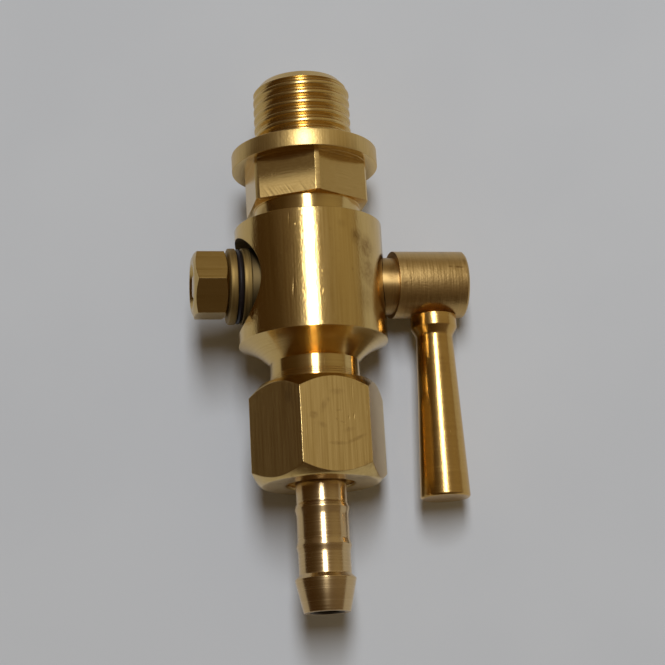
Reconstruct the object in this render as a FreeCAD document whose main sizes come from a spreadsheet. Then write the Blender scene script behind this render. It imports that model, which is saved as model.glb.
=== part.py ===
import FreeCAD, Part

import math
import os

import Sketcher

# Fuel tap with a threaded inlet, a taper plug turned by a lever, and a hose tail on a union nut.
# All sizes are in millimetres. The origin is the centre of the flange's top face, where the tap
# seals against the tank. +Z is the way the inlet thread points, and X is the plug's own axis, with
# the lever on +X and the small nut on -X.

NODES = (
    "tap_body",
    "taper_plug",
    "lever_handle",
    "thrust_washer",
    "o_ring",
    "plain_washer",
    "spindle_nut",
    "union_nut",
    "hose_tail",
)

# Driving dimensions, read from the photograph at the scale of the quarter-inch pipe thread
SIZES = {
    # Inlet thread, flange and hexagon
    "thread_crest": 6.58,
    "inlet_top": 10.0,
    "lead_depth": 1.1,
    "lead_length": 1.3,
    "undercut_radius": 6.39,
    "undercut_length": 1.0,
    "undercut_corner": 0.25,
    "flange_radius": 9.85,
    "flange_depth": 2.35,
    "hexagon_across": 15.1,
    "hexagon_land": 8.55,
    "hexagon_turn": 1.5,
    "hexagon_foot": 7.95,
    "waist_radius": 7.1,
    # Barrel, bell and threaded spigot
    "barrel_radius": 9.86,
    "barrel_top": 10.8,
    "barrel_foot": 26.7,
    "bell_waist_radius": 7.74,
    "bell_waist": 27.84,
    "bell_foot": 29.4,
    "neck_radius": 5.9,
    "neck_foot": 32.3,
    "spigot_foot": 39.5,
    "spigot_lead": 0.7,
    # Fuel way
    "inlet_bore": 3.2,
    "inlet_bore_foot": 12.0,
    "drill_point": 0.7,
    "way_radius": 2.1,
    "port_radius": 2.0,
    "seat_mouth": 4.6,
    "seat_half_angle": 30.0,
    "seat_gap": 0.05,
    # Taper plug and its bore
    "spindle_drop": 18.73,
    "plug_small_end": 8.1,
    "plug_large_end": 9.5,
    "plug_large_radius": 3.85,
    "taper_rise": 0.05,
    "plug_clearance": 0.03,
    "boss_radius": 5.1,
    "boss_face": 8.4,
    "recess_radius": 6.4,
    "recess_floor": 7.3,
    "head_radius": 4.55,
    "head_start": 11.4,
    "head_end": 20.82,
    "head_edge": 0.3,
    "stud_radius": 2.35,
    "stud_end": 15.5,
    "stud_lead": 0.55,
    "stud_flat": 1.9,
    # Lever
    "lever_reach": 16.44,
    "spot_face": 4.3,
    "spot_radius": 3.2,
    "socket_radius": 1.75,
    "socket_top": 2.5,
    "spigot_radius": 1.72,
    "spigot_top": 2.2,
    "collar_radius": 3.08,
    "collar_foot": 5.97,
    "shank_top": 7.02,
    "shank_radius": 2.42,
    "lever_end_radius": 3.28,
    "lever_end": 28.9,
    "lever_edge": 0.2,
    # Washers, ring and nut on the stud
    "stack_gap": 0.03,
    "washer_radius": 5.05,
    "washer_depth": 1.0,
    "washer_edge": 0.18,
    "washer_hole": 2.45,
    "key_flat": 1.95,
    "ring_section": 0.4,
    "ring_centre": 4.55,
    "nut_across": 8.23,
    "nut_end": 15.89,
    "nut_turn": 5.0,
    "nut_face_radius": 3.55,
    "nut_chamfer_slope": 0.45,
    "nut_bore": 2.39,
    "nut_countersink": 0.65,
    "nut_lead": 0.35,
    # Union nut
    "union_across": 15.88,
    "union_turn": 22.8,
    "union_top": 32.3,
    "union_foot": 45.5,
    "union_top_radius": 7.4,
    "union_top_chamfer": 1.9,
    "union_foot_radius": 7.6,
    "union_foot_chamfer": 1.5,
    "union_bore": 6.62,
    "union_lead": 0.5,
    "union_shoulder": 43.35,
    "union_mouth": 4.35,
    # Hose tail
    "nose_radius": 3.0,
    "collar_top": 39.9,
    "tail_collar_radius": 5.95,
    "tail_shoulder": 43.3,
    "shank_guide": 4.28,
    "guide_foot": 44.7,
    "stem_radius": 3.325,
    "ridge_radius": 3.57,
    "ridge_one": 47.9,
    "ridge_two": 52.7,
    "ridge_rise": 0.75,
    "ridge_fall": 0.85,
    "grip_radius": 3.37,
    "barb_start": 57.1,
    "barb_top": 57.7,
    "barb_radius": 3.95,
    "tail_end": 61.9,
    "tip_radius": 3.0,
    "tail_bore": 2.0,
    "bore_lead": 0.25,
}

doc = FreeCAD.newDocument("FuelTap")


def fill_sheet(values):
    """Put every driving dimension in a cell of its own, under its name."""
    sheet = doc.addObject("Spreadsheet::Sheet", "Sizes")
    for row, (name, value) in enumerate(values.items(), start=1):
        sheet.set(f"A{row}", name.replace("_", " "))
        sheet.set(f"B{row}", str(value))
        sheet.setAlias(f"B{row}", name)
    doc.recompute()
    return sheet


def bound(expression):
    """Turn a plain expression of size names into one that reads the sheet."""
    for name in sorted(SIZES, key=len, reverse=True):
        expression = expression.replace(f"<{name}>", f"Sizes.{name}")
    return expression


def number(expression):
    """Value of an expression of size names, in millimetres or degrees."""
    result = sheet.evalExpression(bound(expression))
    return float(getattr(result, "Value", result))


def new_body(label):
    """Add one sub-part."""
    body = doc.addObject("PartDesign::Body", label)
    body.Label = label
    return body


def origin_plane(body, role):
    """One of the sub-part's own three base planes."""
    return next(item for item in body.Origin.OriginFeatures if item.Role == role)


def new_sketch(body, name, role, shift=None):
    """Add an empty sketch on a base plane, shifted by expressions where asked."""
    sketch = body.newObject("Sketcher::SketchObject", name)
    sketch.AttachmentSupport = (origin_plane(body, role), [""])
    sketch.MapMode = "FlatFace"
    for direction, expression in (shift or {}).items():
        sketch.setExpression(f"AttachmentOffset.Base.{direction}", bound(expression))
    doc.recompute()
    return sketch


def fix_corner(sketch, edge, end, place, tag):
    """Tie one end of an edge to its two expressions."""
    for axis, (kind, rail, expression) in enumerate(
        (("DistanceX", -2, place[0]), ("DistanceY", -1, place[1]))
    ):
        value = number(expression)
        if abs(value) < 1e-9:
            sketch.addConstraint(Sketcher.Constraint("PointOnObject", edge, end, rail))
            continue
        index = sketch.addConstraint(Sketcher.Constraint(kind, -1, 1, edge, end, value))
        sketch.renameConstraint(index, f"{tag}{'xy'[axis]}")
        sketch.setExpression(f"Constraints.{tag}{'xy'[axis]}", bound(expression))


def arc_between(start, end, radius, bulge):
    """Circular arc from start to end that swells to the side named by bulge."""
    chord = end - start
    half = chord.Length / 2
    sagitta = radius - math.sqrt(radius * radius - half * half)
    across = FreeCAD.Vector(-chord.y, chord.x, 0).normalize()
    middle = (start + end) * 0.5 + across * sagitta * bulge
    return Part.ArcOfCircle(start, middle, end)


def draw_loop(sketch, corners, tag):
    """Draw one closed outline. A corner may carry the radius and side of the arc that leaves it."""
    places = [FreeCAD.Vector(number(corner[0]), number(corner[1]), 0) for corner in corners]
    starts = []
    for index, corner in enumerate(corners):
        start = places[index]
        end = places[(index + 1) % len(places)]
        if len(corner) == 2:
            starts.append((sketch.addGeometry(Part.LineSegment(start, end), False), 1, 2))
            continue
        arc = arc_between(start, end, number(corner[2]), corner[3])
        edge = sketch.addGeometry(arc, False)
        forward = sketch.getPoint(edge, 1).distanceToPoint(start) < 1e-6
        starts.append((edge, 1, 2) if forward else (edge, 2, 1))
        radius = sketch.addConstraint(Sketcher.Constraint("Radius", edge, number(corner[2])))
        sketch.renameConstraint(radius, f"{tag}r{index}")
        sketch.setExpression(f"Constraints.{tag}r{index}", bound(corner[2]))
    for index, (edge, first, _) in enumerate(starts):
        before, _, last = starts[index - 1]
        sketch.addConstraint(Sketcher.Constraint("Coincident", before, last, edge, first))
        fix_corner(sketch, edge, first, corners[index], f"{tag}p{index}")


def draw_circle(sketch, centre, radius, tag):
    """Draw one circle whose centre and radius read the sheet."""
    place = FreeCAD.Vector(number(centre[0]), number(centre[1]), 0)
    circle = Part.Circle(place, FreeCAD.Vector(0, 0, 1), number(radius))
    edge = sketch.addGeometry(circle, False)
    fix_corner(sketch, edge, 3, centre, tag)
    index = sketch.addConstraint(Sketcher.Constraint("Radius", edge, number(radius)))
    sketch.renameConstraint(index, f"{tag}radius")
    sketch.setExpression(f"Constraints.{tag}radius", bound(radius))


def turned(body, name, kind, role, rail, loops, shift=None):
    """Turn closed outlines about a sketch axis, adding material or cutting it."""
    sketch = new_sketch(body, f"{name}Sketch", role, shift)
    for index, corners in enumerate(loops):
        draw_loop(sketch, corners, f"loop{index}")
    feature = body.newObject(f"PartDesign::{kind}", name)
    feature.Profile = sketch
    feature.ReferenceAxis = (sketch, [rail])
    feature.Angle = 360
    doc.recompute()
    return feature


def straight(body, name, kind, sketch, length, reverse=False):
    """Pad or pocket a sketch by a length that reads the sheet."""
    feature = body.newObject(f"PartDesign::{kind}", name)
    feature.Profile = sketch
    feature.Type = 0
    feature.Reversed = reverse
    feature.setExpression("Length", bound(length))
    doc.recompute()
    return feature


def hexagon(across, turn):
    """Six corners of a hexagon, with the first one turned from the sketch's lower axis."""
    reach = f"({across}) / 2 / cos(30)"
    return [
        (f"{reach} * sin({turn} + {60 * step})", f"-{reach} * cos({turn} + {60 * step})")
        for step in range(6)
    ]


def box_corners(low, high):
    """Four corners of a rectangle between two opposite ones."""
    return [(low[0], low[1]), (high[0], low[1]), (high[0], high[1]), (low[0], high[1])]


sheet = fill_sheet(SIZES)

# Tap body: one turned bar with a milled hexagon, the plug's taper bore and the fuel way
tap_body = new_body("tap_body")
turned(
    tap_body,
    "TurnedBar",
    "Revolution",
    "XZ_Plane",
    "V_Axis",
    [
        [
            ("0", "<inlet_top>"),
            ("<thread_crest> - <lead_depth>", "<inlet_top>"),
            ("<thread_crest>", "<inlet_top> - <lead_length>"),
            ("<thread_crest>", "<undercut_length> + <thread_crest> - <undercut_radius>"),
            ("<undercut_radius>", "<undercut_length>"),
            ("<undercut_radius>", "<undercut_corner>"),
            ("<undercut_radius> + <undercut_corner>", "0"),
            ("<flange_radius>", "0"),
            ("<flange_radius>", "-<flange_depth>"),
            ("<hexagon_land>", "-<flange_depth>"),
            ("<hexagon_land>", "-<hexagon_foot>"),
            ("<waist_radius>", "-<hexagon_foot>"),
            ("<waist_radius>", "-<barrel_top>"),
            ("<barrel_radius>", "-<barrel_top>"),
            ("<barrel_radius>", "-<barrel_foot>"),
            ("<bell_waist_radius>", "-<bell_waist>"),
            ("<neck_radius>", "-<bell_foot>"),
            ("<neck_radius>", "-<neck_foot>"),
            ("<thread_crest>", "-<neck_foot> - <thread_crest> + <neck_radius>"),
            ("<thread_crest>", "-<spigot_foot> + <spigot_lead>"),
            ("<thread_crest> - <spigot_lead>", "-<spigot_foot>"),
            ("0", "-<spigot_foot>"),
        ]
    ],
)
flats = new_sketch(tap_body, "FlatsSketch", "XY_Plane", {"z": "-<flange_depth>"})
draw_circle(flats, ("0", "0"), "<hexagon_land> + 2", "swarf")
draw_loop(flats, hexagon("<hexagon_across>", "<hexagon_turn>"), "flat")
straight(tap_body, "MilledFlats", "Pocket", flats, "<hexagon_foot> - <flange_depth>")
turned(
    tap_body,
    "FuelWay",
    "Groove",
    "XZ_Plane",
    "V_Axis",
    [
        [
            ("0", "<inlet_top> + 1"),
            ("<inlet_bore>", "<inlet_top> + 1"),
            ("<inlet_bore>", "-<inlet_bore_foot>"),
            ("<way_radius>", "-<inlet_bore_foot> - <drill_point>"),
            (
                "<way_radius>",
                "-<spigot_foot> + (<seat_mouth> - <way_radius>) / tan(<seat_half_angle>)",
            ),
            ("<seat_mouth>", "-<spigot_foot>"),
            ("<seat_mouth>", "-<spigot_foot> - 1"),
            ("0", "-<spigot_foot> - 1"),
        ]
    ],
)
bore_small = "<plug_large_radius> - <taper_rise> * (<plug_large_end> + <boss_face>)"
turned(
    tap_body,
    "TaperBore",
    "Groove",
    "XZ_Plane",
    "H_Axis",
    [
        [
            ("<barrel_radius> + 1", "0"),
            ("<barrel_radius> + 1", "<plug_large_radius> + <plug_clearance>"),
            ("<plug_large_end>", "<plug_large_radius> + <plug_clearance>"),
            ("-<boss_face>", f"{bore_small} + <plug_clearance>"),
            ("-<boss_face>", "<boss_radius>"),
            ("-<recess_floor>", "<boss_radius>"),
            ("-<recess_floor>", "<recess_radius>"),
            ("-<barrel_radius> - 1", "<recess_radius>"),
            ("-<barrel_radius> - 1", "0"),
        ]
    ],
    {"y": "-<spindle_drop>"},
)

# Taper plug: stud, ground taper with its port, and the head that takes the lever, all one piece
taper_plug = new_body("taper_plug")
plug_small = "<plug_large_radius> - <taper_rise> * (<plug_large_end> + <plug_small_end>)"
turned(
    taper_plug,
    "TurnedPlug",
    "Revolution",
    "XZ_Plane",
    "H_Axis",
    [
        [
            ("-<stud_end>", "0"),
            ("-<stud_end>", "<stud_radius> - <stud_lead>"),
            ("-<stud_end> + <stud_lead>", "<stud_radius>"),
            ("-<plug_small_end>", "<stud_radius>"),
            ("-<plug_small_end>", plug_small),
            ("<plug_large_end>", "<plug_large_radius>"),
            ("<head_start>", "<plug_large_radius>"),
            ("<head_start>", "<head_radius> - <head_edge>"),
            ("<head_start> + <head_edge>", "<head_radius>"),
            ("<head_end> - <head_edge>", "<head_radius>"),
            ("<head_end>", "<head_radius> - <head_edge>"),
            ("<head_end>", "0"),
        ]
    ],
)
key = new_sketch(taper_plug, "KeySketch", "YZ_Plane", {"z": "-<stud_end> - 1"})
draw_loop(key, box_corners(("-3", "<stud_flat>"), ("3", "3")), "upper")
draw_loop(key, box_corners(("-3", "-3"), ("3", "-<stud_flat>")), "lower")
straight(taper_plug, "StudFlats", "Pocket", key, "<stud_end> + 1 - <plug_small_end>", True)
port = new_sketch(taper_plug, "PortSketch", "XY_Plane", {"z": "<head_radius> + 1"})
draw_circle(port, ("0", "0"), "<port_radius>", "port")
straight(taper_plug, "CrossPort", "Pocket", port, "2 * <head_radius> + 2")
spot = new_sketch(taper_plug, "SpotSketch", "XY_Plane", {"z": "-<head_radius> - 1"})
draw_circle(spot, ("<lever_reach>", "0"), "<spot_radius>", "spot")
straight(taper_plug, "SpotFace", "Pocket", spot, "<head_radius> + 1 - <spot_face>", True)
socket = new_sketch(taper_plug, "SocketSketch", "XY_Plane", {"z": "-<head_radius> - 1"})
draw_circle(socket, ("<lever_reach>", "0"), "<socket_radius>", "socket")
straight(taper_plug, "LeverSocket", "Pocket", socket, "<head_radius> + 1 + <socket_top>", True)

# Lever: a turned rod with a collar, screwed into the plug's head
lever_handle = new_body("lever_handle")
turned(
    lever_handle,
    "TurnedRod",
    "Revolution",
    "XZ_Plane",
    "V_Axis",
    [
        [
            ("0", "<spigot_top>"),
            ("<spigot_radius>", "<spigot_top>"),
            ("<spigot_radius>", "-<spot_face>"),
            ("<collar_radius>", "-<spot_face>"),
            ("<collar_radius>", "-<collar_foot>"),
            ("<shank_radius>", "-<shank_top>"),
            ("<lever_end_radius>", "-<lever_end> + <lever_edge>"),
            ("<lever_end_radius> - <lever_edge>", "-<lever_end>"),
            ("0", "-<lever_end>"),
        ]
    ],
)

# Thrust washer, keyed to the stud's flats so that the nut is not turned with the plug
thrust_start = "<boss_face> + <stack_gap> + <washer_depth>"
thrust_washer = new_body("thrust_washer")
disc = new_sketch(thrust_washer, "DiscSketch", "YZ_Plane", {"z": f"-({thrust_start})"})
draw_circle(disc, ("0", "0"), "<washer_radius>", "rim")
key_half = "sqrt(<washer_hole> ^ 2 - <key_flat> ^ 2)"
draw_loop(
    disc,
    [
        (f"-{key_half}", "<key_flat>"),
        (key_half, "<key_flat>", "<washer_hole>", 1),
        (key_half, "-<key_flat>"),
        (f"-{key_half}", "-<key_flat>", "<washer_hole>", 1),
    ],
    "key",
)
straight(thrust_washer, "Disc", "Pad", disc, "<washer_depth>")

# Sealing ring between the two washers, its round section drawn with eight sides
ring_place = f"{thrust_start} + <ring_section>"
ring_reach = "<ring_section> / cos(22.5)"
o_ring = new_body("o_ring")
turned(
    o_ring,
    "RoundSection",
    "Revolution",
    "XZ_Plane",
    "H_Axis",
    [
        [
            (
                f"-({ring_place}) + {ring_reach} * cos({45 * step + 22.5})",
                f"<ring_centre> + {ring_reach} * sin({45 * step + 22.5})",
            )
            for step in range(8)
        ]
    ],
)

# Plain washer under the nut, with its edges broken
plain_start = f"{thrust_start} + 2 * <ring_section>"
plain_end = f"{plain_start} + <washer_depth>"
plain_washer = new_body("plain_washer")
turned(
    plain_washer,
    "TurnedDisc",
    "Revolution",
    "XZ_Plane",
    "H_Axis",
    [
        [
            (f"-({plain_end})", "<washer_hole>"),
            (f"-({plain_end})", "<washer_radius> - <washer_edge>"),
            (f"-({plain_end}) + <washer_edge>", "<washer_radius>"),
            (f"-({plain_start}) - <washer_edge>", "<washer_radius>"),
            (f"-({plain_start})", "<washer_radius> - <washer_edge>"),
            (f"-({plain_start})", "<washer_hole>"),
        ]
    ],
)

# Nut on the stud, chamfered at both ends
spindle_nut = new_body("spindle_nut")
nut_blank = new_sketch(spindle_nut, "BlankSketch", "YZ_Plane", {"z": "-<nut_end>"})
draw_loop(
    nut_blank,
    [(f"-({up})", side) for side, up in hexagon("<nut_across>", "<nut_turn>")],
    "blank",
)
straight(spindle_nut, "Blank", "Pad", nut_blank, f"<nut_end> - ({plain_end})")
nut_rise = "<nut_chamfer_slope> * 2"
turned(
    spindle_nut,
    "NutTurning",
    "Groove",
    "XZ_Plane",
    "H_Axis",
    [
        [
            ("-<nut_end>", "<nut_face_radius>"),
            (f"-<nut_end> + {nut_rise}", "<nut_face_radius> + 2"),
            ("-<nut_end>", "<nut_face_radius> + 2"),
        ],
        [
            (f"-({plain_end})", "<nut_face_radius>"),
            (f"-({plain_end})", "<nut_face_radius> + 2"),
            (f"-({plain_end}) - {nut_rise}", "<nut_face_radius> + 2"),
        ],
        [
            ("-<nut_end> - 1", "0"),
            ("-<nut_end> - 1", "<nut_bore> + <nut_countersink>"),
            ("-<nut_end>", "<nut_bore> + <nut_countersink>"),
            ("-<nut_end> + <nut_countersink>", "<nut_bore>"),
            (f"-({plain_end}) - <nut_lead>", "<nut_bore>"),
            (f"-({plain_end})", "<nut_bore> + <nut_lead>"),
            (f"-({plain_end}) + 1", "<nut_bore> + <nut_lead>"),
            (f"-({plain_end}) + 1", "0"),
        ],
    ],
)

# Union nut: hexagon with long chamfers, threaded inside down to the shoulder that draws the tail up
union_nut = new_body("union_nut")
union_blank = new_sketch(union_nut, "BlankSketch", "XY_Plane", {"z": "-<union_foot>"})
draw_loop(union_blank, hexagon("<union_across>", "-<union_turn>"), "blank")
straight(union_nut, "Blank", "Pad", union_blank, "<union_foot> - <union_top>")
union_reach = "(<union_across> / 2 / cos(30))"
top_slope = f"<union_top_chamfer> / ({union_reach} - <union_top_radius>)"
foot_slope = f"<union_foot_chamfer> / ({union_reach} - <union_foot_radius>)"
turned(
    union_nut,
    "NutTurning",
    "Groove",
    "XZ_Plane",
    "V_Axis",
    [
        [
            ("<union_top_radius>", "-<union_top>"),
            ("<union_top_radius> + 3", "-<union_top>"),
            ("<union_top_radius> + 3", f"-<union_top> - 3 * {top_slope}"),
        ],
        [
            ("<union_foot_radius>", "-<union_foot>"),
            ("<union_foot_radius> + 3", f"-<union_foot> + 3 * {foot_slope}"),
            ("<union_foot_radius> + 3", "-<union_foot>"),
        ],
        [
            ("0", "-<union_top> + 1"),
            ("<union_bore> + <union_lead>", "-<union_top> + 1"),
            ("<union_bore> + <union_lead>", "-<union_top>"),
            ("<union_bore>", "-<union_top> - <union_lead>"),
            ("<union_bore>", "-<union_shoulder>"),
            ("<union_mouth>", "-<union_shoulder>"),
            ("<union_mouth>", "-<union_foot> - 1"),
            ("0", "-<union_foot> - 1"),
        ],
    ],
)

# Hose tail: cone and collar held by the union nut, stem with two ridges, and the barb for the hose
hose_tail = new_body("hose_tail")
nose_base = "(<seat_mouth> - <seat_gap> / cos(<seat_half_angle>))"
turned(
    hose_tail,
    "TurnedTail",
    "Revolution",
    "XZ_Plane",
    "V_Axis",
    [
        [
            (
                "<tail_bore>",
                f"-<spigot_foot> + ({nose_base} - <nose_radius>) / tan(<seat_half_angle>)",
            ),
            (
                "<nose_radius>",
                f"-<spigot_foot> + ({nose_base} - <nose_radius>) / tan(<seat_half_angle>)",
            ),
            (
                f"{nose_base} + (<collar_top> - <spigot_foot>) * tan(<seat_half_angle>)",
                "-<collar_top>",
            ),
            ("<tail_collar_radius>", "-<collar_top>"),
            ("<tail_collar_radius>", "-<tail_shoulder>"),
            ("<shank_guide>", "-<tail_shoulder>"),
            ("<shank_guide>", "-<guide_foot>"),
            ("<stem_radius>", "-<guide_foot>"),
            ("<stem_radius>", "-<ridge_one>"),
            ("<ridge_radius>", "-<ridge_one> - <ridge_rise>"),
            ("<grip_radius>", "-<ridge_one> - <ridge_rise> - <ridge_fall>"),
            ("<grip_radius>", "-<ridge_two>"),
            ("<ridge_radius>", "-<ridge_two> - <ridge_rise>"),
            ("<grip_radius>", "-<ridge_two> - <ridge_rise> - <ridge_fall>"),
            ("<grip_radius>", "-<barb_start>"),
            ("<barb_radius>", "-<barb_top>"),
            ("<tip_radius>", "-<tail_end>"),
            ("<tail_bore> + <bore_lead>", "-<tail_end>"),
            ("<tail_bore>", "-<tail_end> + <bore_lead>"),
        ]
    ],
)

# The plug and what it carries sit on the plug's axis, and the lever also stands out along it
for piece in (taper_plug, lever_handle, thrust_washer, o_ring, plain_washer, spindle_nut):
    piece.setExpression("Placement.Base.z", bound("-<spindle_drop>"))
lever_handle.setExpression("Placement.Base.x", bound("<lever_reach>"))
doc.recompute()

# Nothing is written until every object is sound and every cut has taken material away
for item in doc.Objects:
    if "Invalid" in item.State or "Error" in item.State:
        raise RuntimeError(f"{item.Name} failed: {item.State}")
    if item.TypeId in ("PartDesign::Pocket", "PartDesign::Groove"):
        if item.Shape.Volume > item.BaseFeature.Shape.Volume - 1e-3:
            raise RuntimeError(f"{item.Name} cut nothing")

os.makedirs("parts", exist_ok=True)
for label in NODES:
    piece = doc.getObjectsByLabel(label)[0]
    shape = piece.Shape
    if shape.isNull() or not shape.isValid() or len(shape.Solids) != 1:
        raise RuntimeError(f"{label} is not one sound solid")
    box = shape.BoundBox
    print(
        f"{label}: {shape.Volume:.1f} mm3, X {box.XMin:.2f} to {box.XMax:.2f},"
        f" Y {box.YMin:.2f} to {box.YMax:.2f}, Z {box.ZMin:.2f} to {box.ZMax:.2f}"
    )
    shape.exportStep(f"parts/{label}.step")
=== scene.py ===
"""Fuel tap: its turned and milled brass pieces, their finishes, the table and the light."""

import logging
import math
from dataclasses import dataclass
from enum import Enum

import bpy
from mathutils import Matrix, Vector

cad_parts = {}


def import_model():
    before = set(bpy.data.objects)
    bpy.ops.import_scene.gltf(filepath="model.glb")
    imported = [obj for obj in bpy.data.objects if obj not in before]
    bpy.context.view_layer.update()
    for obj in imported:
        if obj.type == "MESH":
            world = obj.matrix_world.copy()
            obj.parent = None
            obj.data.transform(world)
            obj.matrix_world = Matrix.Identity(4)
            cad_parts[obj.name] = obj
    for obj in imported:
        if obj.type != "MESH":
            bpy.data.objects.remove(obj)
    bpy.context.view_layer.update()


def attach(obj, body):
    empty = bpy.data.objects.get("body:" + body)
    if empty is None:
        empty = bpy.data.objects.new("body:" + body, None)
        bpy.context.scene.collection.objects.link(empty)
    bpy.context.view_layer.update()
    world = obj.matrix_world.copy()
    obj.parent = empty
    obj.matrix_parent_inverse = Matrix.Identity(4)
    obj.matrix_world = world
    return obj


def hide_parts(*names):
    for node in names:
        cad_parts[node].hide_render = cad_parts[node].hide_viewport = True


# Metres, and how finely a round is divided.
MM = 0.001
MICRON = 1e-6
STEPS = 144
THREAD_STEPS = 96
HEXAGON_CUTS = 5
ROUNDING_STEPS = 3
SMOOTH_ANGLE = 24.0

# Millimetres from the body's axis and seat to the spindle's and the lever's axis, and from
# the spindle's axis to the head's and the nut's.
SPINDLE_DROP = 18.73
LEVER_REACH = 16.44
HEAD_RISE = 0.2
NUT_RISE = 0.18

# Brass: half width of a limit in millimetres, colours, noise as scale, octaves and their
# strength, and ranges that are stretched onto 0 to 1, or onto the two numbers after them.
SOFT_EDGE = 0.05
# The near-black colour here, and the roughness and ranges further down that go with it, are painted
# shade in the recess and the tail's bore.
PAINTED_SHADE_COLOUR = (0.02, 0.015, 0.012)
STAIN_AND_SHADE_TONES = (0.5, 0.42, 0.36)
STAIN_AND_SHADE_SHARE = 0.9
STAIN_ROUGHNESS = 0.03
PAINTED_SHADE_ROUGHNESS = 0.2
SCRATCH_ROUGHNESS = 0.1
SCRATCH_DEPTH = 2.5
SCRATCH_RUNS = (((0, 14, 8), 900.0), ((0, -38, -20), 700.0))
SCRATCH_LEVEL = 0.56
SCRATCH_WIDTH = 0.007
PATCH_SCALE = 420.0
CLOUD_NOISE = (330.0, 5.0, 0.6)
SPOT_NOISE = (1300.0, 3.0, 0.6)
SPECKLE_NOISE = (3200.0, 2.0, 0.6)
TONE_RANGE = (0.15, 0.85)
STREAK_RANGE = (0.3, 0.7, -0.5, 0.5)
CLOUD_RANGE = (0.55, 0.72)
SPOT_RANGE = (0.68, 0.74)
BLOB_RANGE = (0.2, 1.0, 1.0, 0.0)
BROKEN_RANGE = (0.36, 0.6, 0.5, 1.0)
EDGE_RANGE = (0.985, 0.9)
# Ranges of the painted shade in the recess, towards its top and its foot.
PAINTED_SHADE_TOP = (1.0, 4.6, 0.8, 0.98)
PAINTED_SHADE_FOOT = (-2.5, -5.5, 0.8, 0.92)
MILL_FOOT = (-6.2, -7.4, 0.0, 60.0)
PATCH_RANGE = (0.54, 0.62)

Corner = tuple[float, ...]
Outline = list[Corner]
Colour = tuple[float, float, float]
Piece = bpy.types.Object

log = logging.getLogger("fuel_tap")


@dataclass(frozen=True)
class Centre:
    """A turning axis, with the way that a radius is measured off it, in millimetres."""

    origin: Corner
    along: Corner = (0, 0, 1)
    side: Corner = (1, 0, 0)

    @property
    def upright(self) -> bool:
        """Whether the axis runs along Z, and not along X."""
        return self.along[2] == 1

    def place(self, radius: float, height: float) -> Vector:
        """Find the point, in metres, at a radius and a height in millimetres."""
        spot = Vector(self.origin) + Vector(self.side) * radius + Vector(self.along) * height
        return spot * MM

    def turn_matrix(self, degrees: float) -> Matrix:
        """Give the rotation that lays a primitive's own Z along this axis and turns it."""
        laid = Vector((0, 0, 1)).rotation_difference(Vector(self.along)).to_matrix().to_4x4()
        return laid @ Matrix.Rotation(math.radians(degrees), 4, "Z")


def lying(height: float) -> Centre:
    """Give an axis that runs along X at a height in millimetres."""
    return Centre((0, 0, height), (1, 0, 0), (0, 0, 1))


BODY_AXIS = Centre((0, 0, 0))
LEVER_AXIS = Centre((LEVER_REACH, 0, 0))
SPINDLE_AXIS = lying(-SPINDLE_DROP)
HEAD_AXIS = lying(-SPINDLE_DROP + HEAD_RISE)
NUT_AXIS = lying(-SPINDLE_DROP + NUT_RISE)


def clear_bench() -> None:
    """Leave edit mode and deselect everything."""
    if bpy.context.mode != "OBJECT":
        bpy.ops.object.mode_set(mode="OBJECT")
    bpy.ops.object.select_all(action="DESELECT")


def pick(piece: Piece) -> None:
    """Make one piece the only selected and active one.

    Args:
        piece: The piece to work on.
    """
    clear_bench()
    piece.select_set(True)
    bpy.context.view_layer.objects.active = piece


def edit_all(piece: Piece) -> None:
    """Open a piece in edit mode with all of it selected.

    Args:
        piece: The piece to edit.
    """
    pick(piece)
    bpy.ops.object.mode_set(mode="EDIT")
    bpy.ops.mesh.select_all(action="SELECT")


def call_new(name: str) -> Piece:
    """Name the object that was just added, and its data.

    Args:
        name: The name.

    Returns:
        The object.
    """
    piece = bpy.context.object
    piece.name = piece.data.name = name
    return piece


def cove(start: Corner, end: Corner, radius: float, count: int) -> Outline:
    """Work out the points of a hollow between two corners of an outline.

    Args:
        start: First corner, kept.
        end: Last corner, kept, nearer the axis.
        radius: Radius of the hollow.
        count: Number of runs along it.

    Returns:
        The points from start to end.
    """
    first, last = Vector(start), Vector(end)
    chord = last - first
    reach = math.sqrt(radius * radius - chord.length_squared / 4)
    centre = (first + last) / 2 + Vector((-chord.y, chord.x)).normalized() * reach
    begin, close = (math.atan2(spot.y - centre.y, spot.x - centre.x) for spot in (first, last))
    sweep = (close - begin + math.pi) % (2 * math.pi) - math.pi
    angles = [begin + sweep * step / count for step in range(count + 1)]
    return [
        (centre.x + radius * math.cos(angle), centre.y + radius * math.sin(angle))
        for angle in angles
    ]


def ease(outline: Outline, closed: bool) -> list[Vector]:
    """Round the corners that carry a third number, the length taken off each side.

    Args:
        outline: Corners as radius, height and an optional rounding.
        closed: Whether the last corner runs on to the first.

    Returns:
        The outline's points after rounding.
    """
    points: list[Vector] = []
    count = len(outline)
    for index, corner in enumerate(outline):
        here = Vector(corner[:2])
        if len(corner) < 3 or (not closed and index in (0, count - 1)):
            points.append(here)
            continue
        before = Vector(outline[index - 1][:2])
        after = Vector(outline[(index + 1) % count][:2])
        start = here + (before - here).normalized() * corner[2]
        end = here + (after - here).normalized() * corner[2]
        for step in range(ROUNDING_STEPS + 1):
            share = step / ROUNDING_STEPS
            middle = here * (2 * share * (1 - share))
            points.append(start * (1 - share) ** 2 + middle + end * share**2)
    return points


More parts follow.
